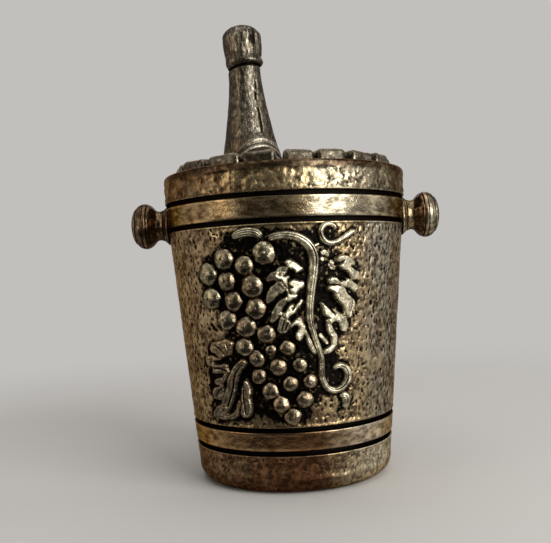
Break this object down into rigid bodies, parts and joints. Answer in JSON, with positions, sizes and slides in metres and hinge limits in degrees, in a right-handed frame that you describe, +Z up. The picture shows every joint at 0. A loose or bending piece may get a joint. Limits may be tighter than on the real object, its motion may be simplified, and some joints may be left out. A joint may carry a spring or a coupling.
{
  "type": "toothpick holder",
  "caption": "Cast bucket with a grapevine in relief, hoops and side knobs; its lid of ice blocks and a bottle lifts a tray of toothpicks out.",
  "frame": {"origin": "centre of the bucket's foot, on the surface it stands on", "axes": "+Z up along the bucket's axis, -Y towards the grapevine relief, +X to the viewer's right through the right knob"},
  "size_m": [0.0756, 0.0596, 0.1096],
  "materials": {
    "bronze_wall": "antique bronze, pitted, black in the hollows",
    "bronze_hoop": "antique bronze, smooth satin",
    "bronze_knob": "antique copper brown, turned",
    "bronze_relief": "worn bright on the high spots, black in the hollows",
    "dark_cast": "dark antique, worn grey on the edges",
    "plain_brass": "plain spun",
    "steel": "plain"
  },
  "bodies": {
    "bucket": {"bucket_shell": "bronze_wall", "upper_hoop": "bronze_hoop", "lower_hoop": "bronze_hoop", "left_knob": "bronze_knob", "right_knob": "bronze_knob", "knob_screws": "steel", "grape_cluster": "bronze_relief", "vine_stem": "bronze_relief", "upper_tendril": "bronze_relief", "vine_bud": "bronze_relief", "curled_leaf": "bronze_relief", "left_leaf": "bronze_relief", "right_leaf": "bronze_relief", "lower_leaf": "bronze_relief"},
    "lid": {"lid_plate": "dark_cast", "ice_ring": "dark_cast", "ice_heap": "dark_cast", "bottle": "dark_cast", "bottle_screw": "steel", "pull_rod": "steel", "pick_tray": "plain_brass"}
  },
  "joints": [
    {"name": "lid_lift", "type": "slide", "parent": "bucket", "child": "lid", "axis": [0, 0, 1], "range_m": [0, 0.075]}
  ]
}
